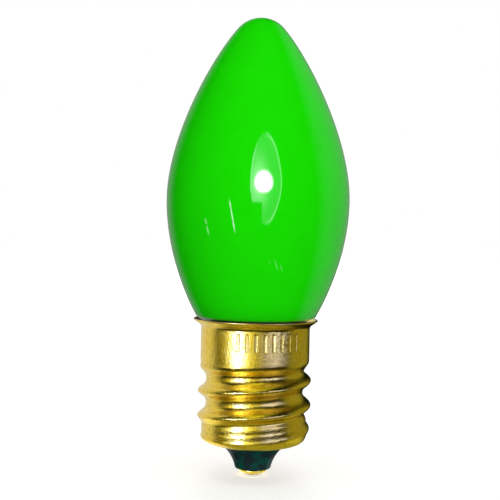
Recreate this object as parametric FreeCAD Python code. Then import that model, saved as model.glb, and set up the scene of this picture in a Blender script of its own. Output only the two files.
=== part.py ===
import FreeCAD, Part
import math
import os

# Christmas lamp with a candelabra screw base, upright, base down, in millimetres.
# The origin is the lowest point of the centre contact, and +Z runs up the lamp's axis.

# Glass: a pointed blown form that narrows into the shell
belly_radius = 9.43
belly_above_lip = 12.23
glass_above_lip = 31.05
tip_radius = 3.2
tip_flat_radius = 0.5
tip_arc_angle = 50.0
tip_fullness = 4.25
upper_fullness = 6.2
lower_fullness = 4.2
skirt_fullness = 3.75
skirt_angle = 29.3
skirt_above_lip = 0.3
mouth_gap = 0.1
mouth_turn = 0.35

# Neck of the glass, down inside the shell
neck_gap = 0.55
neck_turn = 1.5
neck_below_lip = 2.0
neck_length = 5.2

# Screw shell: drawn brass sheet with a rolled right-hand E12 thread
shell_wall = 0.2
mouth_rim = 0.43
shoulder_step = 0.22
shoulder_height = 0.85
shoulder_reach = 1.3
thread_length = 8.25
thread_pitch = 2.54
crest_rise = 0.22
root_depth = 0.63
thread_start_angle = 270.7
crest_run_in = 1.0
root_run_in = 1.9
crest_run_out = 1.0
root_run_out = 1.3
collar_radius = 5.63
collar_length = 2.7
flare_round = 0.45
flare_angle = 50.0
flare_reach = 0.79

# Insulator: dark glass moulded into the bottom of the shell
insulator_drop = 2.66
insulator_foot_radius = 1.84
insulator_hollow_radius = 4.04
insulator_foot_round = 0.2
lead_bore_radius = 0.35

# Centre contact: brass eyelet with a domed head
contact_drop = 0.73
contact_edge = 0.2
contact_radius = 1.5
shank_radius = 0.8
shank_length = 1.4
eyelet_bore_radius = 0.45
contact_solder_height = 1.0

# Lead wires, solder and cement
wire_radius = 0.1
wire_offset = 1.5
wire_below_neck = 0.8
centre_lead_bend_height = 5.8
side_lead_angle = 90.0
solder_radius = 0.5
solder_top_radius = 0.3
solder_height = 0.7
cement_height = 1.5
cement_above_thread = 0.1

# Bands that each rounded stretch is made of
rings_per_turn = 6
tip_band_count = 3
upper_band_count = 5
lower_band_count = 3
mouth_band_count = 2
round_band_count = 2
shoulder_band_count = 2
hollow_band_count = 3

# Radii and heights that follow from the sizes above
crest_radius = collar_radius + crest_rise
root_radius = collar_radius - root_depth
shoulder_radius = collar_radius - shoulder_step
lip_radius = collar_radius + flare_reach
shell_mouth_radius = shoulder_radius - shoulder_reach - mouth_rim
shell_base = contact_drop + insulator_drop
thread_base = shell_base + shoulder_height
thread_top = thread_base + thread_length
collar_top = thread_top + collar_length
shank_top = contact_drop + shank_length
origin = FreeCAD.Vector(0, 0, 0)
upward = FreeCAD.Vector(0, 0, 1)


# Every round form is a stack of rings joined by straight bands, from points of (radius, height)


def ring(radius, height, swing=0.0, angle=0.0):
    """A horizontal circle whose centre stands off the axis by swing, towards angle."""
    centre = FreeCAD.Vector(swing * math.cos(angle), swing * math.sin(angle), height)
    return Part.Wire(Part.makeCircle(radius, centre))


def stack(rings):
    return Part.makeLoft(rings, True, True)


def turned(points):
    return stack([ring(*point) for point in points])


def polar(centre, radius, angle):
    swung = math.radians(angle)
    return (centre[0] + radius * math.cos(swung), centre[1] + radius * math.sin(swung))


def round_points(centre, radius, first, last, bands):
    """Points along an arc, from one angle to another, in degrees from the outward direction."""
    return [polar(centre, radius, first + (last - first) * step / bands) for step in range(bands + 1)]


def bezier_point(poles, share):
    rest = 1.0 - share
    weights = (rest ** 3, 3 * rest ** 2 * share, 3 * rest * share ** 2, share ** 3)
    return tuple(sum(weight * pole[axis] for weight, pole in zip(weights, poles)) for axis in (0, 1))


def curve_points(poles, bands):
    """Points along a cubic curve, from its second one to its last."""
    return [bezier_point(poles, step / bands) for step in range(1, bands + 1)]


def smooth(share):
    share = min(1.0, max(0.0, share))
    return share * share * (3.0 - 2.0 * share)


# Flared lip of the shell: a round out of the collar, a cone, and the cut edge of the sheet

flare_slope = math.radians(flare_angle)
flare_centre = (collar_radius + flare_round, collar_top)
flare_run = (lip_radius - flare_centre[0]) / math.sin(flare_slope) + flare_round / math.tan(flare_slope)
flare_meet = polar(flare_centre, flare_round, 180.0 - flare_angle)
lip_outer = (lip_radius, flare_meet[1] + flare_run * math.cos(flare_slope))
lip_edge = (
    lip_radius - shell_wall * math.cos(flare_slope) / 2,
    lip_outer[1] + shell_wall * math.sin(flare_slope) / 2,
)
lip_height = lip_edge[1]
inner_meet = polar(flare_centre, flare_round + shell_wall, 180.0 - flare_angle)


def inner_cone_radius(height):
    return inner_meet[0] + (height - inner_meet[1]) * math.tan(flare_slope)


# Glass outline: a spherical tip, three curves down to the top of the neck, then the neck

lip_bore_radius = inner_cone_radius(lip_height)
thread_bore_radius = root_radius - shell_wall
neck_radius = thread_bore_radius - neck_gap
neck_top = lip_height - neck_below_lip
neck_base = neck_top - neck_length
glass_top = lip_height + glass_above_lip
tip_centre = (0.0, glass_top - tip_radius)
tip_rise = math.degrees(math.asin(tip_flat_radius / tip_radius))
tip_points = round_points(tip_centre, tip_radius, 90.0 - tip_rise, 90.0 - tip_arc_angle, tip_band_count)
tip_end = tip_points[-1]
tip_slope = math.radians(tip_arc_angle)
skirt_slope = math.radians(skirt_angle)
belly = (belly_radius, lip_height + belly_above_lip)
skirt = (
    lip_bore_radius - mouth_gap + skirt_above_lip * math.tan(skirt_slope),
    lip_height + skirt_above_lip,
)
neck = (neck_radius, neck_top)


def skirt_point(distance):
    """A point on the skirt's tangent, up it or, below zero, down it."""
    return (skirt[0] + distance * math.sin(skirt_slope), skirt[1] + distance * math.cos(skirt_slope))


tip_pole = (
    tip_end[0] + tip_fullness * math.cos(tip_slope),
    tip_end[1] - tip_fullness * math.sin(tip_slope),
)
upper_poles = (tip_end, tip_pole, (belly[0], belly[1] + upper_fullness), belly)
lower_poles = (belly, (belly[0], belly[1] - lower_fullness), skirt_point(skirt_fullness), skirt)
mouth_poles = (skirt, skirt_point(-mouth_turn), (neck[0], neck[1] + neck_turn), neck)


def glass_envelope():
    """The blown and coated glass, sealed and closed to view, down to the end of its neck."""
    outline = tip_points + curve_points(upper_poles, upper_band_count)
    outline += curve_points(lower_poles, lower_band_count)
    outline += curve_points(mouth_poles, mouth_band_count)
    outline.append((neck_radius, neck_base))
    return turned(outline)


# Rolled thread: a ring that keeps its size and swings once round the axis in each pitch


def crest_level(height):
    end = thread_top - root_run_out
    rise = smooth((height - thread_base) / crest_run_in)
    fall = smooth((height - end + crest_run_out) / crest_run_out)
    return shoulder_radius + (crest_radius - shoulder_radius) * rise - (crest_radius - collar_radius) * fall


def root_level(height):
    sink = smooth((height - thread_base) / root_run_in)
    rise = smooth((height - thread_top + root_run_out) / root_run_out)
    return shoulder_radius - (shoulder_radius - root_radius) * sink + (collar_radius - root_radius) * rise


def thread_rings():
    """Rings of the rolled length, between its two plain ends."""
    count = max(2, math.ceil(thread_length / thread_pitch * rings_per_turn))
    rings = []
    for step in range(1, count):
        height = thread_base + thread_length * step / count
        crest = crest_level(height)
        root = root_level(height)
        angle = math.radians(thread_start_angle) + 2 * math.pi * (height - thread_base) / thread_pitch
        rings.append(ring((crest + root) / 2, height, (crest - root) / 2, angle))
    return rings


def shoulder_points(inset, bands):
    """Points of the shell's flattened shoulder, from the bottom out to the start of the thread."""
    points = []
    for unit in round_points((0.0, 0.0), 1.0, -90.0, 0.0, bands):
        radius = shoulder_radius - shoulder_reach + (shoulder_reach - inset) * unit[0]
        points.append((radius, thread_base + (shoulder_height - inset) * unit[1]))
    return points


def flare_points(inset):
    """Points of the flare's round, out of the collar and up to the cone of the lip."""
    return round_points(flare_centre, flare_round + inset, 180.0, 180.0 - flare_angle, round_band_count)


def screw_shell():
    collar = [(collar_radius, thread_top), *flare_points(0.0), lip_outer, lip_edge]
    outer = [ring(*point) for point in shoulder_points(0.0, shoulder_band_count)] + thread_rings()
    outer += [ring(*point) for point in collar]
    clear = lip_height + shell_wall
    bore = [
        *shoulder_points(shell_wall, 1),
        (thread_bore_radius, thread_base + root_run_in),
        (thread_bore_radius, thread_top - root_run_out),
        (collar_radius - shell_wall, thread_top),
        *flare_points(shell_wall),
        (inner_cone_radius(clear), clear),
    ]
    hole = Part.makeCylinder(shell_mouth_radius, 2 * shell_wall, FreeCAD.Vector(0, 0, shell_base))
    return stack(outer).cut([turned(bore), hole])


# Insulator and centre contact


def insulator():
    """A plug that fills the shell's bottom and a hollow-sided funnel below it, with a bore for the lead."""
    mouth = (shell_mouth_radius, shell_base)
    foot = (insulator_foot_radius, contact_drop)
    span = math.hypot(mouth[0] - foot[0], mouth[1] - foot[1])
    lean = math.atan2(mouth[1] - foot[1], mouth[0] - foot[0])
    reach = math.sqrt(insulator_hollow_radius ** 2 - (span / 2) ** 2)
    centre = (
        (mouth[0] + foot[0]) / 2 + reach * math.sin(lean),
        (mouth[1] + foot[1]) / 2 - reach * math.cos(lean),
    )
    side_foot = foot[1] + insulator_foot_round
    low = 180.0 - math.degrees(math.asin((side_foot - centre[1]) / insulator_hollow_radius))
    high = math.degrees(math.atan2(mouth[1] - centre[1], mouth[0] - centre[0]))
    side = round_points(centre, insulator_hollow_radius, low, high % 360.0, hollow_band_count)
    corner = (side[0][0] - insulator_foot_round, side[0][1])
    foot_round = round_points(corner, insulator_foot_round, -90.0, 0.0, round_band_count)
    funnel = turned(foot_round + side[1:] + [(mouth[0], shell_base + shell_wall)])
    plug = turned(shoulder_points(shell_wall, 1))
    bore = Part.makeCylinder(lead_bore_radius, thread_base)
    socket = Part.makeCylinder(shank_radius, shank_top)
    return funnel.fuse(plug).cut([bore, socket])


dome_height = contact_drop - contact_edge
dome_radius = (contact_radius ** 2 + dome_height ** 2) / (2 * dome_height)


def dome():
    """The ball whose lowest part is the contact's domed face."""
    return Part.makeSphere(dome_radius, FreeCAD.Vector(0, 0, dome_radius))


def centre_contact():
    head = dome().common(Part.makeCylinder(contact_radius, contact_drop))
    shank = Part.makeCylinder(shank_radius, shank_length, FreeCAD.Vector(0, 0, contact_drop))
    bore = Part.makeCylinder(eyelet_bore_radius, shank_top)
    return head.fuse(shank).cut(bore)


def centre_solder():
    return dome().common(Part.makeCylinder(eyelet_bore_radius, contact_solder_height))


# Lead wires: straight runs with mitred corners


def wire_along(points):
    """A round wire through points of (distance from the axis, height)."""
    path = [FreeCAD.Vector(x, 0, z) for x, z in points]
    section = Part.Wire(Part.makeCircle(wire_radius, path[0], path[1] - path[0]))
    return Part.makePolygon(path).makePipeShell([section], True, False, 1)


def centre_lead_wire():
    return wire_along([
        (-wire_offset, neck_base),
        (-wire_offset, neck_base - wire_below_neck),
        (0.0, centre_lead_bend_height),
        (0.0, contact_solder_height),
    ])


def side_lead_wire():
    """Out of the neck's end, round its edge and up between the glass and the shell."""
    beside_neck = (neck_radius + thread_bore_radius) / 2
    beside_flare = bezier_point(mouth_poles, 0.5)
    beside_lip = bezier_point(mouth_poles, 0.25)
    wire = wire_along([
        (wire_offset, neck_base),
        (wire_offset, neck_base - wire_below_neck),
        (beside_neck, neck_base - wire_below_neck),
        (beside_neck, neck_top),
        ((beside_flare[0] + inner_meet[0]) / 2, (beside_flare[1] + inner_meet[1]) / 2),
        ((beside_lip[0] + lip_bore_radius) / 2, (beside_lip[1] + lip_height) / 2),
    ])
    wire.rotate(origin, upward, side_lead_angle)
    return wire


def side_solder(shell, glass, wire):
    """A drop over the edge of the lip, wetted to the shell and the wire."""
    drop = Part.makeCone(solder_radius, solder_top_radius, solder_height)
    drop.translate(FreeCAD.Vector(lip_edge[0], 0, lip_outer[1] - solder_height / 2))
    drop.rotate(origin, upward, side_lead_angle)
    return drop.cut([shell, glass, wire])


def basing_cement(wire):
    """The ring between the neck and the collar, which the side lead passes through."""
    base = FreeCAD.Vector(0, 0, thread_top + cement_above_thread)
    ring_form = Part.makeCylinder(collar_radius - shell_wall, cement_height, base)
    return ring_form.cut([Part.makeCylinder(neck_radius, cement_height, base), wire])


os.makedirs("parts", exist_ok=True)
glass = glass_envelope()
shell = screw_shell()
side_wire = side_lead_wire()
pieces = {
    "glass_envelope": glass,
    "screw_shell": shell,
    "insulator": insulator(),
    "centre_contact": centre_contact(),
    "centre_solder": centre_solder(),
    "centre_lead_wire": centre_lead_wire(),
    "side_lead_wire": side_wire,
    "side_solder": side_solder(shell, glass, side_wire),
    "basing_cement": basing_cement(side_wire),
}
for name, shape in pieces.items():
    shape.exportStep("parts/" + name + ".step")
    print(name, len(shape.Solids), shape.isValid(), round(shape.Volume, 3))
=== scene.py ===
import math
import bmesh
import bpy
from mathutils import Matrix, Vector
from mathutils.geometry import interpolate_bezier


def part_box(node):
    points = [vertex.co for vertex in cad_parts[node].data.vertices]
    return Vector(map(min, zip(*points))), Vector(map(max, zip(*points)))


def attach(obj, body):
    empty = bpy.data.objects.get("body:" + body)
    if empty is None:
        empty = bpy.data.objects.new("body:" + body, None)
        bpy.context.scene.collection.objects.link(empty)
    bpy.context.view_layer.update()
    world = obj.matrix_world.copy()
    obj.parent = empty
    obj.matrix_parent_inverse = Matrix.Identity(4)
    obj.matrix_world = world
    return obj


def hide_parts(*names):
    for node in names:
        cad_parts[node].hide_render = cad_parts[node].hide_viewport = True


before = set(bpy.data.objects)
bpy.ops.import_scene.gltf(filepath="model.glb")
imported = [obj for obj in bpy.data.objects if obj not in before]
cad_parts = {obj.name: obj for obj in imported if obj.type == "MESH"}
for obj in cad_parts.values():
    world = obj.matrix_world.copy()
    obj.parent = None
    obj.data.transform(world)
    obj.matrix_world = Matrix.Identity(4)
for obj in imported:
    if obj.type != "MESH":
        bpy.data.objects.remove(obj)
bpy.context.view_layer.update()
mm = 0.001
glassLow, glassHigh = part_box("glass_envelope")
shellLow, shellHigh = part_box("screw_shell")
insulatorLow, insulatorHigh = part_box("insulator")
print("frame loaded")


# mesh helpers: every round piece is an outline of (radius, height) in millimetres, spun about Z

def curveRun(first, firstHandle, lastHandle, last, steps):
    ends = [Vector((point[0], 0, point[1])) for point in (first, firstHandle, lastHandle, last)]
    return [(point.x, point.z) for point in interpolate_bezier(*ends, steps + 1)]


def arcRun(centre, radius, start, end, steps):
    run = []
    for step in range(steps + 1):
        angle = math.radians(start + (end - start) * step / steps)
        run.append((centre[0] + radius * math.cos(angle), centre[1] + radius * math.sin(angle)))
    return run


def spinOutline(outline, segments, closed=False):
    bm = bmesh.new()
    verts = [bm.verts.new((radius * mm, 0, height * mm)) for radius, height in outline]
    edges = [bm.edges.new(pair) for pair in zip(verts, verts[1:])]
    if closed:
        edges.append(bm.edges.new((verts[-1], verts[0])))
    bmesh.ops.spin(bm, geom=verts + edges, cent=(0, 0, 0), axis=(0, 0, 1), dvec=(0, 0, 0),
                   angle=math.tau, steps=segments, use_merge=True)
    bmesh.ops.remove_doubles(bm, verts=bm.verts, dist=0.0005 * mm)
    bmesh.ops.recalc_face_normals(bm, faces=bm.faces)
    return bm


def makePiece(name, bm, material, slotName, *nodes):
    mesh = bpy.data.meshes.new(name)
    bm.to_mesh(mesh)
    bm.free()
    for polygon in mesh.polygons:
        polygon.use_smooth = True
    piece = bpy.data.objects.new(name, mesh)
    bpy.context.scene.collection.objects.link(piece)
    piece.data.materials.append(material)
    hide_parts(*nodes)
    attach(piece, "root")
    return piece


# material helpers

def newMaterial(name):
    material = bpy.data.materials.new(name)
    material.use_nodes = True
    shader = material.node_tree.nodes["Principled BSDF"]
    return material, shader


def addNode(material, kind, settings=None, **inputs):
    node = material.node_tree.nodes.new(kind)
    for key, value in (settings or {}).items():
        setattr(node, key, value)
    for key, value in inputs.items():
        socket = node.inputs[key.replace("_", " ")]
        if isinstance(value, bpy.types.NodeSocket):
            material.node_tree.links.new(value, socket)
        else:
            socket.default_value = value
    return node


def mathNode(material, operation, *values):
    node = material.node_tree.nodes.new("ShaderNodeMath")
    node.operation = operation
    for index, value in enumerate(values):
        if isinstance(value, bpy.types.NodeSocket):
            material.node_tree.links.new(value, node.inputs[index])
        else:
            node.inputs[index].default_value = value
    return node.outputs[0]


def mixColour(material, factor, first, second):
    node = material.node_tree.nodes.new("ShaderNodeMix")
    node.data_type = "RGBA"
    for index, value in ((0, factor), (6, first), (7, second)):
        if isinstance(value, bpy.types.NodeSocket):
            material.node_tree.links.new(value, node.inputs[index])
        else:
            node.inputs[index].default_value = value
    return node.outputs[2]


def rampNode(material, factor, low, high):
    return addNode(material, "ShaderNodeMapRange", {"interpolation_type": "SMOOTHSTEP"},
                   Value=factor, From_Min=low, From_Max=high).outputs[0]


def objectPlace(material):
    return addNode(material, "ShaderNodeTexCoord").outputs["Object"]


def noiseNode(material, place, size, detail=2.0, roughness=0.5):
    return addNode(material, "ShaderNodeTexNoise", Vector=place, Scale=1 / (size * mm),
                   Detail=detail, Roughness=roughness).outputs[0]


def bumpNode(material, height, depth, settings=None, **inputs):
    return addNode(material, "ShaderNodeBump", settings, Height=height, Distance=depth * mm, Strength=1.0,
                   **inputs).outputs[0]


def link(material, output, shader, name):
    material.node_tree.links.new(output, shader.inputs[name])


# green coated glass

coat = {
    "green": (0.008, 0.655, 0.0004, 1),
    "deepGreen": (0.006, 0.51, 0.0004, 1),
    "scuff": (0.65, 0.95, 0.65, 1),
    # painted shadow: a near-black line on the glass just above the lip, standing in for the shade in the gap
    # against the brass
    "gapShadow": (0.02, 0.006, 0.02, 1),
    "gapShadowHeight": 0.14,
    "gapShadowCore": 0.03,
    # painted shade: the glass darkens towards the lip, where the brass lip shades it
    "rimShadeAbove": 2.2,  # the green deepens from this far above the lip
    "rimShadeBelow": 0.2,
    "rimShadeTone": 0.7,
    "mottleSize": 2.4,
    "mottleRange": (0.35, 0.75),
    "mottleTone": 0.12,
    "roughness": 0.5,
    "glazeRoughness": 0.055,
    "glazeIndex": 1.6,
    "waveSize": 3.0,
    "waveHeight": 0.010,
    "peelSize": 0.45,
    "peelHeight": 0.0012,
    "scratchWidth": 0.09,
    "scratchCore": 0.02,
    "scratchBreaks": 0.5,
    "scratchBreakRange": (0.3, 0.5),
    "speckSpacing": 2.2,
    "speckRadius": 0.07,
    "speckShare": 0.3,
    "speckStrength": 0.5,
    "scratches": (  # ends as (x, z) on the front, in millimetres, and how strong each is
        ((-2.83, 28.3), (-2.13, 24.6), 0.8),
        ((-5.10, 26.4), (-4.60, 24.3), 0.45),
        ((1.56, 22.5), (1.96, 21.3), 0.13),
        ((2.15, 21.9), (2.42, 21.2), 0.12),
        ((1.05, 22.4), (1.20, 21.9), 0.08),
    ),
}


def scratchMask(material, place):
    # thin broken scratches along straight lines on the front of the glass
    x, y, z = addNode(material, "ShaderNodeSeparateXYZ", Vector=place).outputs
    front = mathNode(material, "LESS_THAN", y, 0.0)
    breaks = noiseNode(material, place, coat["scratchBreaks"], 3.0)
    broken = rampNode(material, breaks, *coat["scratchBreakRange"])
    mask = 0.0
    for (startX, startZ), (endX, endZ), strength in coat["scratches"]:
        length = math.hypot(endX - startX, endZ - startZ)
        alongX, alongZ = (endX - startX) / length, (endZ - startZ) / length
        fromX = mathNode(material, "SUBTRACT", x, startX * mm)
        fromZ = mathNode(material, "SUBTRACT", z, startZ * mm)
        along = mathNode(material, "ADD", mathNode(material, "MULTIPLY", fromX, alongX),
                         mathNode(material, "MULTIPLY", fromZ, alongZ))
        across = mathNode(material, "SUBTRACT", mathNode(material, "MULTIPLY", fromX, alongZ),
                          mathNode(material, "MULTIPLY", fromZ, alongX))
        beside = mathNode(material, "ABSOLUTE", across)
        beside = rampNode(material, beside, coat["scratchWidth"] * mm, coat["scratchCore"] * mm)
        middle = mathNode(material, "ABSOLUTE", mathNode(material, "SUBTRACT", along, length / 2 * mm))
        inside = rampNode(material, middle, length / 2 * mm, length / 4 * mm)
        scratch = mathNode(material, "MULTIPLY", mathNode(material, "MULTIPLY", beside, inside), strength)
        mask = mathNode(material, "MAXIMUM", mask, scratch)
    return mathNode(material, "MULTIPLY", mathNode(material, "MULTIPLY", mask, front), broken)


def speckMask(material, place):
    # a few tiny pale chips, scattered at random
    cells = addNode(material, "ShaderNodeTexVoronoi", Vector=place, Scale=1 / (coat["speckSpacing"] * mm))
    radius = coat["speckRadius"] / coat["speckSpacing"]
    spot = rampNode(material, cells.outputs["Distance"], radius, radius * 0.5)
    pick = addNode(material, "ShaderNodeSeparateColor", Color=cells.outputs["Color"]).outputs["Red"]
    chosen = mathNode(material, "LESS_THAN", pick, coat["speckShare"])
    chosen = mathNode(material, "MULTIPLY", chosen, coat["speckStrength"])
    return mathNode(material, "MULTIPLY", spot, chosen)


def makeCoatMaterial():
    material, shader = newMaterial("greenCoat")
    place = objectPlace(material)
    height = addNode(material, "ShaderNodeSeparateXYZ", Vector=place).outputs["Z"]
    # painted shade: deeper green towards the lip, standing in for the shade and dark reflection the brass
    # lip throws on the glass; the random mottle uses the same deeper green
    rim = rampNode(material, height, shellHigh.z + coat["rimShadeAbove"] * mm,
                   shellHigh.z - coat["rimShadeBelow"] * mm)
    mottle = noiseNode(material, place, coat["mottleSize"], 3.0)
    tone = rampNode(material, mottle, *coat["mottleRange"])
    tone = mathNode(material, "MULTIPLY", tone, coat["mottleTone"])
    tone = mathNode(material, "MAXIMUM", tone, mathNode(material, "MULTIPLY", rim, coat["rimShadeTone"]))
    green = mixColour(material, tone, coat["green"], coat["deepGreen"])
    marks = mathNode(material, "MAXIMUM", scratchMask(material, place), speckMask(material, place))
    green = mixColour(material, marks, green, coat["scuff"])
    # painted shadow: the glass goes near-black in a thin band just above the lip, where the gap between
    # glass and lip falls in shade
    gapShadow = rampNode(material, height, shellHigh.z + coat["gapShadowHeight"] * mm,
                    shellHigh.z + coat["gapShadowCore"] * mm)
    green = mixColour(material, gapShadow, green, coat["gapShadow"])
    link(material, green, shader, "Base Color")
    shader.inputs["Roughness"].default_value = coat["roughness"]
    shader.inputs["Coat Weight"].default_value = 1.0
    shader.inputs["Coat Roughness"].default_value = coat["glazeRoughness"]
    shader.inputs["Coat IOR"].default_value = coat["glazeIndex"]
    shader.inputs["Specular IOR Level"].default_value = 0.0
    wave = noiseNode(material, place, coat["waveSize"], 1.0)
    peel = noiseNode(material, place, coat["peelSize"], 2.0)
    waves = bumpNode(material, wave, coat["waveHeight"])
    bumps = bumpNode(material, peel, coat["peelHeight"], Normal=waves)
    link(material, bumps, shader, "Normal")
    link(material, bumps, shader, "Coat Normal")
    return material


# glass: tip arc, shoulder down to the belly, belly down to the lip, then the neck inside the shell

bulb = {
    "bellyHeight": 28.37,
    "tipRadius": 3.2,
    "tipArc": 50.0,
    "tipFullness": 4.25,
    "upperFullness": 6.2,
    "lowerFullness": 4.2,
    "skirtFullness": 3.75,
    "skirtAngle": 29.3,
    "skirtHeight": 16.44,
    "skirtRadius": 6.2,
    "mouthTurn": 0.35,
    "neckRadius": 4.25,
    "neckTop": 14.14,
    "neckTurn": 1.5,
    "topHeight": 47.19,
    "tipSteps": 14,
    "upperSteps": 60,
    "lowerSteps": 44,
    "neckSteps": 14,
    "segments": 128,
}


def makeGlass():
    top = bulb["topHeight"]
    arc = math.radians(bulb["tipArc"])
    tipCentre = (0.0, top - bulb["tipRadius"])
    outline = arcRun(tipCentre, bulb["tipRadius"], 90.0, 90.0 - bulb["tipArc"], bulb["tipSteps"])
    tipEnd = outline[-1]
    belly = (glassHigh.x / mm, bulb["bellyHeight"])
    skirt = (bulb["skirtRadius"], bulb["skirtHeight"])
    slope = math.radians(bulb["skirtAngle"])
    neck = (bulb["neckRadius"], bulb["neckTop"])
    tipHandle = (
        tipEnd[0] + bulb["tipFullness"] * math.cos(arc),
        tipEnd[1] - bulb["tipFullness"] * math.sin(arc),
    )
    skirtHandle = (
        skirt[0] + bulb["skirtFullness"] * math.sin(slope),
        skirt[1] + bulb["skirtFullness"] * math.cos(slope),
    )
    mouthHandle = (
        skirt[0] - bulb["mouthTurn"] * math.sin(slope),
        skirt[1] - bulb["mouthTurn"] * math.cos(slope),
    )
    aboveBelly = (belly[0], belly[1] + bulb["upperFullness"])
    belowBelly = (belly[0], belly[1] - bulb["lowerFullness"])
    aboveNeck = (neck[0], neck[1] + bulb["neckTurn"])
    outline += curveRun(tipEnd, tipHandle, aboveBelly, belly, bulb["upperSteps"])[1:]
    outline += curveRun(belly, belowBelly, skirtHandle, skirt, bulb["lowerSteps"])[1:]
    outline += curveRun(skirt, mouthHandle, aboveNeck, neck, bulb["neckSteps"])[1:]
    outline += [(neck[0], glassLow.z / mm), (0.0, glassLow.z / mm)]
    bm = spinOutline(outline, bulb["segments"])
    return makePiece("glassBulb", bm, makeCoatMaterial(), "green_glass", "glass_envelope")


# brass shell: shoulder, rolled thread, collar and flared lip, spun as one closed sheet

shell = {
    "wall": 0.2,
    "mouthRadius": 3.68,
    "mouthRim": 0.43,
    "shoulderHeight": 0.85,
    "threadLength": 8.25,
    "threadPitch": 2.54,
    "crestRadius": 5.85,
    "rootRadius": 5.0,
    "startAngle": 270.7,
    "startCrest": 5.61,
    "startRoot": 5.42,
    "crestRunIn": 1.3,
    "rootStart": 1.5,
    "rootRunIn": 1.2,
    "crestRunOut": 1.0,
    "crestEnd": 1.3,
    "rootRunOut": 1.4,
    "rootEnd": 0.5,
    "collarRadius": 5.63,
    "collarLength": 2.7,
    "flareRound": 0.45,
    "flareAngle": 50.0,
    "startBreadth": 0.42,
    "rootBreadth": 0.18,
    "threadRows": 96,
    "collarRows": 7,
    "shoulderSteps": 12,
    "flareSteps": 8,
    "lipSteps": 8,
    "segments": 144,
}
shellBase = shellLow.z / mm
threadBase = shellBase + shell["shoulderHeight"]
threadTop = threadBase + shell["threadLength"]
collarTop = threadTop + shell["collarLength"]

brass = {
    "gold": (0.86, 0.60, 0.06, 1),
    "paleGold": (0.87, 0.64, 0.09, 1),
    "tarnish": (0.34, 0.22, 0.01, 1),
    # painted shadow: the top edge of the lip turns near-black and dull, standing in for the shade in the gap
    # against the glass
    "lipShadow": (0.035, 0.012, 0.02, 1),
    "lipShadowDepth": 0.07,
    "lipShadowCore": 0.03,
    "lipShadowMetallic": 0.15,
    "lipShadowRoughness": 0.4,
    "roughness": 0.2,
    "roughSpread": 0.12,
    "cloudSize": 1.6,
    "cloudRange": (0.3, 0.7),
    "grainSize": 0.17,
    "grainHeight": 0.032,
    "pitSize": 0.27,
    "pitRange": (0.52, 0.62),
    "pitShare": 0.35,
    "tickCount": 8,
    "tickPitch": 9.0,
    "tickMiddle": 284.0,
    "tickLift": 0.25,
    "tickHeight": 1.5,
    "tickEdge": 0.192,
    "tickCore": 0.048,
    "tickDepth": 0.08,
}


def tickMask(material, place):
    # a row of plain upright strokes pressed into the front of the collar
    x, y, z = addNode(material, "ShaderNodeSeparateXYZ", Vector=place).outputs
    around = mathNode(material, "MULTIPLY", mathNode(material, "ARCTAN2", y, x), 180 / math.pi)
    first = brass["tickMiddle"] - 360 - brass["tickPitch"] * brass["tickCount"] / 2
    turned = mathNode(material, "DIVIDE", mathNode(material, "SUBTRACT", around, first), brass["tickPitch"])
    inRow = mathNode(material, "MULTIPLY", mathNode(material, "GREATER_THAN", turned, 0.0),
                     mathNode(material, "LESS_THAN", turned, float(brass["tickCount"])))
    across = mathNode(material, "SUBTRACT", mathNode(material, "FRACT", turned), 0.5)
    pitch = math.radians(brass["tickPitch"]) * shell["collarRadius"]
    across = mathNode(material, "MULTIPLY", mathNode(material, "ABSOLUTE", across), pitch * mm)
    middle = (threadTop + collarTop) / 2 + brass["tickLift"]
    rise = mathNode(material, "ABSOLUTE", mathNode(material, "SUBTRACT", z, middle * mm))
    rise = mathNode(material, "SUBTRACT", rise, (brass["tickHeight"] / 2) * mm)
    rise = mathNode(material, "MAXIMUM", rise, 0.0)
    away = mathNode(material, "ADD", mathNode(material, "POWER", across, 2.0),
                    mathNode(material, "POWER", rise, 2.0))
    away = mathNode(material, "SQRT", away)
    stroke = rampNode(material, away, brass["tickEdge"] * mm, brass["tickCore"] * mm)
    return mathNode(material, "MULTIPLY", stroke, inRow)


def makeBrassMaterial(name):
    material, shader = newMaterial(name)
    place = objectPlace(material)
    cloud = noiseNode(material, place, brass["cloudSize"], 3.0)
    grain = noiseNode(material, place, brass["grainSize"], 2.0, 0.6)
    pale = rampNode(material, cloud, *brass["cloudRange"])
    colour = mixColour(material, pale, brass["gold"], brass["paleGold"])
    pits = rampNode(material, noiseNode(material, place, brass["pitSize"], 1.0), *brass["pitRange"])
    pits = mathNode(material, "MULTIPLY", pits, brass["pitShare"])
    colour = mixColour(material, pits, colour, brass["tarnish"])
    height = addNode(material, "ShaderNodeSeparateXYZ", Vector=place).outputs["Z"]
    # painted shadow: near-black, less metallic and rougher on the top edge of the lip, where the gap between
    # lip and glass falls in shade
    edge = rampNode(material, height, shellHigh.z - brass["lipShadowDepth"] * mm,
                    shellHigh.z - brass["lipShadowCore"] * mm)
    colour = mixColour(material, edge, colour, brass["lipShadow"])
    link(material, colour, shader, "Base Color")
    metallic = mathNode(material, "MULTIPLY_ADD", edge, brass["lipShadowMetallic"] - 1.0, 1.0)
    link(material, metallic, shader, "Metallic")
    rough = mathNode(material, "MULTIPLY_ADD", cloud, brass["roughSpread"],
                     brass["roughness"] - brass["roughSpread"] / 2)
    rough = mathNode(material, "MULTIPLY_ADD", edge, brass["lipShadowRoughness"], rough)
    link(material, rough, shader, "Roughness")
    ticks = bumpNode(material, tickMask(material, place), brass["tickDepth"], {"invert": True})
    link(material, bumpNode(material, grain, brass["grainHeight"], Normal=ticks), shader, "Normal")
    return material


def smoothStep(share):
    share = min(1.0, max(0.0, share))
    return share * share * (3.0 - 2.0 * share)


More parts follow.
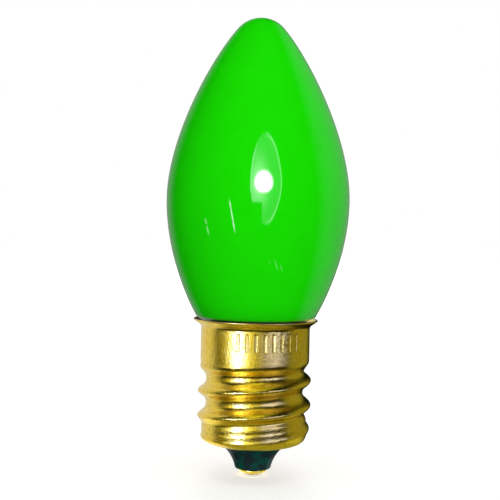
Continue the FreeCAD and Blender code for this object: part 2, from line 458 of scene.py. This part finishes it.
def threadLevels(height):
    # crest and root radius at one height, and how much broader the roots are than the crests
    below = threadTop - height
    rise = smoothStep((height - threadBase) / shell["crestRunIn"])
    fall = smoothStep(1.0 - (below - shell["crestEnd"]) / shell["crestRunOut"])
    sink = smoothStep((height - threadBase - shell["rootStart"]) / shell["rootRunIn"])
    lift = smoothStep(1.0 - (below - shell["rootEnd"]) / shell["rootRunOut"])
    crest = shell["startCrest"] + (shell["crestRadius"] - shell["startCrest"]) * rise
    crest -= (shell["crestRadius"] - shell["collarRadius"]) * fall
    root = shell["startRoot"] - (shell["startRoot"] - shell["rootRadius"]) * sink
    root += (shell["collarRadius"] - shell["rootRadius"]) * lift
    breadth = shell["startBreadth"] + (shell["rootBreadth"] - shell["startBreadth"]) * sink
    return crest, root, breadth


def shellSide(inset):
    # outline of one side of the sheet, from the mouth at the bottom up to the lip
    run = [(shell["mouthRadius"], shellBase + inset)]
    centre = (shell["mouthRadius"] + shell["mouthRim"], threadBase)
    reach = sum(threadLevels(threadBase)[:2]) / 2 - centre[0]
    for x, z in arcRun((0.0, 0.0), 1.0, -90.0, 0.0, shell["shoulderSteps"]):
        drop = (shell["shoulderHeight"] - inset) * z
        run.append((centre[0] + (reach - inset) * x, centre[1] + drop))
    for row in range(1, shell["threadRows"]):
        height = threadBase + shell["threadLength"] * row / shell["threadRows"]
        run.append((sum(threadLevels(height)[:2]) / 2 - inset, height))
    for row in range(shell["collarRows"]):
        height = threadTop + shell["collarLength"] * row / shell["collarRows"]
        run.append((shell["collarRadius"] - inset, height))
    flareCentre = (shell["collarRadius"] + shell["flareRound"], collarTop)
    run += arcRun(flareCentre, shell["flareRound"] + inset, 180.0, 180.0 - shell["flareAngle"],
                  shell["flareSteps"])
    return run


def makeShell():
    half = shell["wall"] / 2
    edge = (shellHigh.x / mm - half, shellHigh.z / mm - half)
    outline = shellSide(0.0)
    outline += arcRun(edge, half, shell["flareAngle"] - 90.0, shell["flareAngle"] + 90.0, shell["lipSteps"])
    outline += reversed(shellSide(shell["wall"]))
    bm = spinOutline(outline, shell["segments"], closed=True)
    start = math.radians(shell["startAngle"])
    for vert in bm.verts:
        height = vert.co.z / mm
        if height < threadTop:
            crest, root, breadth = threadLevels(height)
            turn = start + math.tau * (height - threadBase) / shell["threadPitch"]
            around = math.atan2(vert.co.y, vert.co.x)
            wave = math.cos(around - turn) - breadth * (1 - math.cos(2 * (around - turn)))
            share = smoothStep((height - shellBase) / shell["shoulderHeight"])
            push = share * (crest - root) / 2 * wave * mm
            vert.co.x += push * math.cos(around)
            vert.co.y += push * math.sin(around)
    return makePiece("brassShell", bm, makeBrassMaterial("shellBrass"), "brass", "screw_shell")


# dark moulded glass at the bottom of the shell

insulator = {
    "mouthRadius": 3.68,
    "hollowRadius": 4.04,
    "footRadius": 1.84,
    "footRound": 0.2,
    "boreRadius": 0.9,
    "hollowSteps": 24,
    "footSteps": 8,
    "segments": 96,
    "colour": (0.012, 0.024, 0.030, 1),
    "tint": (0.003, 0.070, 0.048, 1),
    "cloudSize": 0.9,
    "cloudRange": (0.4, 0.7),
    "roughness": 0.08,
    "roughSpread": 0.2,
    "rippleSize": 0.5,
    "rippleHeight": 0.012,
}


def makeInsulatorMaterial():
    material, shader = newMaterial("darkGlass")
    place = objectPlace(material)
    cloud = noiseNode(material, place, insulator["cloudSize"], 2.0)
    tinted = rampNode(material, cloud, *insulator["cloudRange"])
    colour = mixColour(material, tinted, insulator["colour"], insulator["tint"])
    link(material, colour, shader, "Base Color")
    rough = mathNode(material, "MULTIPLY_ADD", cloud, insulator["roughSpread"], insulator["roughness"])
    link(material, rough, shader, "Roughness")
    ripple = noiseNode(material, place, insulator["rippleSize"], 1.0)
    link(material, bumpNode(material, ripple, insulator["rippleHeight"]), shader, "Normal")
    return material


def makeInsulator():
    mouth = (insulator["mouthRadius"], shellBase)
    foot = (insulator["footRadius"], insulatorLow.z / mm)
    span = math.dist(mouth, foot)
    lean = math.atan2(mouth[1] - foot[1], mouth[0] - foot[0])
    reach = math.sqrt(insulator["hollowRadius"] ** 2 - span ** 2 / 4)
    centre = (
        (mouth[0] + foot[0]) / 2 + reach * math.sin(lean),
        (mouth[1] + foot[1]) / 2 - reach * math.cos(lean),
    )
    rounding = insulator["footRound"]
    low = 180.0 - math.degrees(math.asin((foot[1] + rounding - centre[1]) / insulator["hollowRadius"]))
    high = math.degrees(math.atan2(mouth[1] - centre[1], mouth[0] - centre[0])) % 360
    side = arcRun(centre, insulator["hollowRadius"], low, high, insulator["hollowSteps"])
    corner = (side[0][0] - rounding, side[0][1])
    outline = [(insulator["boreRadius"], foot[1])]
    outline += arcRun(corner, rounding, -90.0, 0.0, insulator["footSteps"]) + side[1:]
    outline += [(mouth[0], shellBase + shell["wall"]), (mouth[0], insulatorHigh.z / mm)]
    outline += [(insulator["boreRadius"], insulatorHigh.z / mm)]
    bm = spinOutline(outline, insulator["segments"], closed=True)
    return makePiece("darkInsulator", bm, makeInsulatorMaterial(), "dark_glass", "insulator")


# brass eyelet: a domed head below a hollow shank

contact = {
    "radius": 1.5,
    "drop": 0.73,
    "edge": 0.2,
    "edgeRound": 0.1,
    "bore": 0.45,
    "shank": 0.8,
    "domeSteps": 16,
    "edgeSteps": 6,
    "cornerSteps": 5,
    "segments": 64,
}


def domeRun(first, last, steps):
    # points on the contact's ball from one radius to another
    rise = contact["drop"] - contact["edge"]
    ball = (contact["radius"] ** 2 + rise ** 2) / (2 * rise)
    start = math.degrees(math.asin(first / ball)) - 90.0
    end = math.degrees(math.asin(last / ball)) - 90.0
    return arcRun((0.0, ball), ball, start, end, steps)


def makeContact():
    radius = contact["radius"]
    drop = contact["drop"]
    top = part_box("centre_contact")[1].z / mm
    corner = contact["edgeRound"]
    outline = domeRun(contact["bore"], radius - corner, contact["domeSteps"])
    outline += curveRun(outline[-1], (radius - corner / 3, drop - contact["edge"] - corner / 4),
                        (radius, drop - contact["edge"]), (radius, drop - corner), contact["edgeSteps"])[1:]
    outline += arcRun((radius - corner, drop - corner), corner, 0.0, 90.0, contact["cornerSteps"])
    outline += [(contact["shank"], drop), (contact["shank"], top), (contact["bore"], top)]
    bm = spinOutline(outline, contact["segments"], closed=True)
    material = makeBrassMaterial("contactBrass")
    return makePiece("contactEyelet", bm, material, "brass", "centre_contact")


# solder: the drop in the eyelet and the blob at the back of the lip

solder = {
    "bright": (0.62, 0.60, 0.56, 1),
    "dull": (0.40, 0.39, 0.37, 1),
    "cloudSize": 0.25,
    "roughness": 0.2,
    "roughSpread": 0.3,
    "grainHeight": 0.02,
    "blobSize": 0.96,
    "blobWobble": 0.06,
    "blobWaves": (7, 5, 3),
    "dropSteps": 8,
    "segments": 48,
}


def makeSolderMaterial():
    material, shader = newMaterial("solderMetal")
    cloud = noiseNode(material, objectPlace(material), solder["cloudSize"], 3.0)
    link(material, mixColour(material, cloud, solder["bright"], solder["dull"]), shader, "Base Color")
    shader.inputs["Metallic"].default_value = 1.0
    rough = mathNode(material, "MULTIPLY_ADD", cloud, solder["roughSpread"], solder["roughness"])
    link(material, rough, shader, "Roughness")
    link(material, bumpNode(material, cloud, solder["grainHeight"]), shader, "Normal")
    return material


def makeContactSolder(material):
    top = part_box("centre_solder")[1].z / mm
    outline = domeRun(0.0, contact["bore"], solder["dropSteps"]) + [(contact["bore"], top), (0.0, top)]
    bm = spinOutline(outline, solder["segments"])
    return makePiece("contactSolder", bm, material, "solder", "centre_solder")


def makeLipSolder(material):
    low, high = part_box("side_solder")
    middle = (low + high) / 2
    size = high - low
    waveX, waveY, waveZ = solder["blobWaves"]
    bm = bmesh.new()
    bmesh.ops.create_icosphere(bm, subdivisions=4, radius=0.5)
    for vert in bm.verts:
        swell = math.sin(waveX * vert.co.x + waveZ * vert.co.z) * math.cos(waveY * vert.co.y)
        scale = (1.0 + solder["blobWobble"] * swell) * solder["blobSize"]
        vert.co = vert.co * size * scale + middle
    bmesh.ops.recalc_face_normals(bm, faces=bm.faces)
    return makePiece("lipSolder", bm, material, "solder", "side_solder")


# hidden pieces keep their solids and get a finish only

wire = {
    "copper": (0.72, 0.44, 0.30, 1),
    "dark": (0.45, 0.28, 0.2, 1),
    "cloudSize": 0.2,
    "roughness": 0.35,
}

cement = {
    "light": (0.52, 0.46, 0.36, 1),
    "dark": (0.36, 0.31, 0.24, 1),
    "cloudSize": 0.4,
    "roughness": 0.85,
    "grainHeight": 0.05,
}


def dressNode(node, material):
    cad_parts[node].data.materials.clear()
    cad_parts[node].data.materials.append(material)


def makeWireMaterial():
    material, shader = newMaterial("leadWire")
    cloud = noiseNode(material, objectPlace(material), wire["cloudSize"], 2.0)
    link(material, mixColour(material, cloud, wire["copper"], wire["dark"]), shader, "Base Color")
    shader.inputs["Metallic"].default_value = 1.0
    shader.inputs["Roughness"].default_value = wire["roughness"]
    return material


def makeCementMaterial():
    material, shader = newMaterial("basingCement")
    cloud = noiseNode(material, objectPlace(material), cement["cloudSize"], 4.0)
    link(material, mixColour(material, cloud, cement["light"], cement["dark"]), shader, "Base Color")
    shader.inputs["Roughness"].default_value = cement["roughness"]
    link(material, bumpNode(material, cloud, cement["grainHeight"]), shader, "Normal")
    return material


glass = makeGlass()
print("glass made")
brassShell = makeShell()
print("shell made")
darkInsulator = makeInsulator()
eyelet = makeContact()
solderMaterial = makeSolderMaterial()
eyeletSolder = makeContactSolder(solderMaterial)
rimSolder = makeLipSolder(solderMaterial)
print("base made")
wireMaterial = makeWireMaterial()
dressNode("centre_lead_wire", wireMaterial)
dressNode("side_lead_wire", wireMaterial)
dressNode("basing_cement", makeCementMaterial())
print("inner nodes dressed")


# floor and world: white to the camera and a plain level of light on the object; reflections meet a
# dim room and the lamps only

studio = {
    "floorSize": 6.0,
    "floorColour": (0.82, 0.82, 0.82, 1),
    "floorRoughness": 0.9,
    "floorGlow": 0.62,
    "farGlow": 0.9,
    "glowStart": 0.06,
    "glowEnd": 0.4,
    "ambient": 0.26,
    "roomGlow": 0.004,
    "roomRadius": 1.5,
    "aimHeight": 0.024,
    "leafGlow": (0.27, 0.48, 0),  # places on the leaf-shaped lamp run from 0 to 1, to the right and up
    "leafGlowFall": 1.6,
    "leafGlowLevel": 4.2,
    "leafLevel": 0.6,
    "leafRim": (0.445, 0.47),
    "leafRimLevel": 2.4,
    "leafRimRight": (0.45, 0.7),
    "leafRimLeft": (0.3, 0.1),
    "leafNotch": (0.39, 0.27),
    "leafNotchEdge": 0.03,
}


def rayMask(material):
    path = addNode(material, "ShaderNodeLightPath")
    seen = mathNode(material, "MAXIMUM", path.outputs["Is Camera Ray"], path.outputs["Is Glossy Ray"])
    return mathNode(material, "MAXIMUM", seen, path.outputs["Is Transmission Ray"])


def makeFloor():
    material, shader = newMaterial("floorPaper")
    shader.inputs["Base Color"].default_value = studio["floorColour"]
    shader.inputs["Roughness"].default_value = studio["floorRoughness"]
    shader.inputs["Specular IOR Level"].default_value = 0.0
    shader.inputs["Emission Color"].default_value = (1, 1, 1, 1)
    away = addNode(material, "ShaderNodeVectorMath", {"operation": "LENGTH"})
    material.node_tree.links.new(objectPlace(material), away.inputs[0])
    glow = addNode(material, "ShaderNodeMapRange", Value=away.outputs["Value"],
                   From_Min=studio["glowStart"], From_Max=studio["glowEnd"],
                   To_Min=studio["floorGlow"], To_Max=studio["farGlow"]).outputs[0]
    link(material, mathNode(material, "MULTIPLY", rayMask(material), glow), shader, "Emission Strength")
    bm = bmesh.new()
    bmesh.ops.create_grid(bm, x_segments=1, y_segments=1, size=studio["floorSize"])
    mesh = bpy.data.meshes.new("studioFloor")
    bm.to_mesh(mesh)
    bm.free()
    floor = bpy.data.objects.new("studioFloor", mesh)
    mesh.materials.append(material)
    bpy.context.scene.collection.objects.link(floor)
    floor.visible_glossy = False


def makeWorld():
    world = bpy.data.worlds.new("studioWorld")
    world.use_nodes = True
    bpy.context.scene.world = world
    background = world.node_tree.nodes["Background"]
    background.inputs["Color"].default_value = (1, 1, 1, 1)
    strength = mathNode(world, "MULTIPLY_ADD", rayMask(world), 1.0 - studio["ambient"], studio["ambient"])
    world.node_tree.links.new(strength, background.inputs["Strength"])


def makeDimRoom():
    # a dim ball round the bulb and its studio lamps, met only by reflections
    material, shader = newMaterial("dimRoom")
    shader.inputs["Base Color"].default_value = (0, 0, 0, 1)
    shader.inputs["Specular IOR Level"].default_value = 0.0
    shader.inputs["Emission Color"].default_value = (1, 1, 1, 1)
    shader.inputs["Emission Strength"].default_value = studio["roomGlow"]
    bm = bmesh.new()
    bmesh.ops.create_icosphere(bm, subdivisions=4, radius=studio["roomRadius"])
    mesh = bpy.data.meshes.new("dimRoom")
    bm.to_mesh(mesh)
    bm.free()
    room = bpy.data.objects.new("dimRoom", mesh)
    mesh.materials.append(material)
    bpy.context.scene.collection.objects.link(room)
    room.visible_camera = False
    room.visible_diffuse = False
    room.visible_shadow = False
    room.visible_transmission = False


# lamps: azimuth and elevation in degrees, distance, width and height in metres, radiance, softness, tint

white = (1.0, 1.0, 1.0)
warm = (1.0, 1.0, 0.25)
cold = (0.9, 1.0, 4.5)
sky = (0.6, 0.95, 7.0)

glassLamps = {
    "keyCore": (6.0, 13.7, 0.5, 0.22, 0.155, 16.0, 0.25),
    "keyLeaf": (9.0, 14.0, 0.52, 0.36, 0.54, 1.0, 0.05),
    "rightBand": (125.0, 6.0, 0.5, 1.2, 1.6, 0.24, 0.6),
    "leftBand": (-162.0, 0.0, 0.5, 0.8, 1.6, 0.27, 0.8),
}
metalLamps = {
    "metalCore": (-35.5, 2.0, 0.5, 0.17, 0.40, 7.0, 0.6, sky),
    "metalGlow": (-33.0, 2.0, 0.52, 0.84, 0.60, 1.35, 0.55, warm),
    "metalHalf": (-76.0, 0.0, 0.54, 0.2, 0.5, 0.22, 0.4, warm),
    "metalFill": (8.0, 0.0, 0.56, 0.3, 0.4, 0.36, 0.4, warm),
    "metalRight": (41.0, 5.0, 0.5, 0.52, 0.34, 1.0, 0.25, cold),
    "metalSide": (110.0, 0.0, 0.5, 0.9, 1.2, 0.25, 0.4, warm),
    "metalWall": (-136.0, 5.0, 0.5, 0.95, 2.0, 0.66, 0.05),
    "metalFront": (0.0, 0.0, 0.6, 3.0, 3.0, 0.02, 0.1, warm),
    "metalCeiling": (-10.0, 63.0, 0.5, 0.4, 0.36, 0.9, 0.4, warm),
    "metalFloor": (0.0, -90.0, 0.0238, 0.03, 0.03, 0.3, 0.4, warm),
}
contactLamps = {
    "contactFloor": (0.0, -90.0, 0.0238, 0.07, 0.07, 0.38, 0.4),
}
roomLamps = {
    "topBox": (0.0, 85.0, 1.0, 1.0, 1.0, 1.0, 0.4),
    "backBox": (180.0, 30.0, 1.0, 0.8, 0.8, 2.0, 0.4),
}


def softEdge(data, softness):
    # the lamp fades towards its edge over this share of its half width
    data.use_nodes = True
    across = addNode(data, "ShaderNodeNewGeometry").outputs["Parametric"]
    away = addNode(data, "ShaderNodeVectorMath", {"operation": "DISTANCE"})
    data.node_tree.links.new(across, away.inputs[0])
    away.inputs[1].default_value = (0.5, 0.5, 0)
    fade = rampNode(data, away.outputs["Value"], 0.5, 0.5 - softness / 2)
    link(data, fade, data.node_tree.nodes["Emission"], "Strength")
    return across, away.outputs["Value"], fade


def makeLight(name, receivers, azimuth, elevation, distance, width, height, radiance, softness, tint=white):
    # azimuth in degrees from the camera's side, positive to the right; radiance is how bright it looks
    data = bpy.data.lights.new(name, "AREA")
    data.shape = "ELLIPSE"
    data.size = width
    data.size_y = height
    data.color = tint
    data.energy = math.pi * radiance * width * height
    edge = softEdge(data, softness)
    lamp = bpy.data.objects.new(name, data)
    swung = math.radians(azimuth)
    raised = math.radians(elevation)
    out = Vector((math.sin(swung) * math.cos(raised), -math.cos(swung) * math.cos(raised), math.sin(raised)))
    place = Vector((0, 0, studio["aimHeight"])) + distance * out
    lamp.matrix_world = Matrix.Translation(place) @ (-out).to_track_quat("-Z", "Y").to_matrix().to_4x4()
    bpy.context.scene.collection.objects.link(lamp)
    lamp.visible_camera = False
    if receivers:
        lamp.light_linking.receiver_collection = receivers
        lamp.light_linking.blocker_collection = receivers
    else:
        lamp.visible_glossy = False
    return data, edge


def shapeLeaf(data, across, away, fade):
    # the softbox seen in the glass: bright left of its middle, thin bright edges, its lower left hidden
    x, y, z = addNode(data, "ShaderNodeSeparateXYZ", Vector=across).outputs
    glow = addNode(data, "ShaderNodeVectorMath", {"operation": "DISTANCE"})
    data.node_tree.links.new(across, glow.inputs[0])
    glow.inputs[1].default_value = studio["leafGlow"]
    glow = mathNode(data, "POWER", rampNode(data, glow.outputs["Value"], 0.5, 0.0), studio["leafGlowFall"])
    sides = mathNode(data, "MAXIMUM", rampNode(data, x, *studio["leafRimRight"]),
                     rampNode(data, x, *studio["leafRimLeft"]))
    rim = mathNode(data, "MULTIPLY", rampNode(data, away, *studio["leafRim"]), sides)
    level = mathNode(data, "MULTIPLY_ADD", glow, studio["leafGlowLevel"], studio["leafLevel"])
    level = mathNode(data, "MULTIPLY_ADD", rim, studio["leafRimLevel"], level)
    notchX, notchY = studio["leafNotch"]
    hidden = mathNode(data, "MULTIPLY", rampNode(data, x, notchX, notchX - studio["leafNotchEdge"]),
                      rampNode(data, y, notchY, notchY - studio["leafNotchEdge"]))
    level = mathNode(data, "MULTIPLY", level, mathNode(data, "SUBTRACT", 1.0, hidden))
    link(data, mathNode(data, "MULTIPLY", level, fade), data.node_tree.nodes["Emission"], "Strength")


def group(name, *pieces):
    collection = bpy.data.collections.new(name)
    for piece in pieces:
        collection.objects.link(piece)
    return collection


makeFloor()
makeWorld()
makeDimRoom()
glassPieces = group("glassPieces", glass, darkInsulator)
metalPieces = group("metalPieces", brassShell, eyelet, eyeletSolder, rimSolder)
contactPieces = group("contactPieces", eyelet, eyeletSolder)
for lamps, receivers in (
    (glassLamps, glassPieces), (metalLamps, metalPieces), (contactLamps, contactPieces), (roomLamps, None),
):
    for name, values in lamps.items():
        data, edge = makeLight(name, receivers, *values)
        if name == "keyLeaf":
            shapeLeaf(data, *edge)
print("studio made")


# camera level with the bulb's middle, rolled a little, as in the photograph

shot = {
    "distance": 93.2,
    "height": 23.23,
    "side": 0.726,
    "roll": 1.18,
    "lens": 64.8,
    "sensor": 36.0,
    "nearest": 1.0,
}


def makeCamera():
    data = bpy.data.cameras.new("photoCamera")
    data.lens = shot["lens"]
    data.sensor_width = shot["sensor"]
    data.clip_start = shot["nearest"] * mm
    camera = bpy.data.objects.new("photoCamera", data)
    roll = math.radians(shot["roll"])
    right = Vector((math.cos(roll), 0, math.sin(roll)))
    up = Vector((-math.sin(roll), 0, math.cos(roll)))
    back = Vector((0, -1, 0))
    turn = Matrix((right, up, back)).transposed().to_4x4()
    place = Vector((0, -shot["distance"], shot["height"])) - right * shot["side"]
    camera.matrix_world = Matrix.Translation(place * mm) @ turn
    bpy.context.scene.collection.objects.link(camera)
    bpy.context.scene.camera = camera


makeCamera()
bpy.context.scene.view_settings.view_transform = "Standard"
print("camera set")
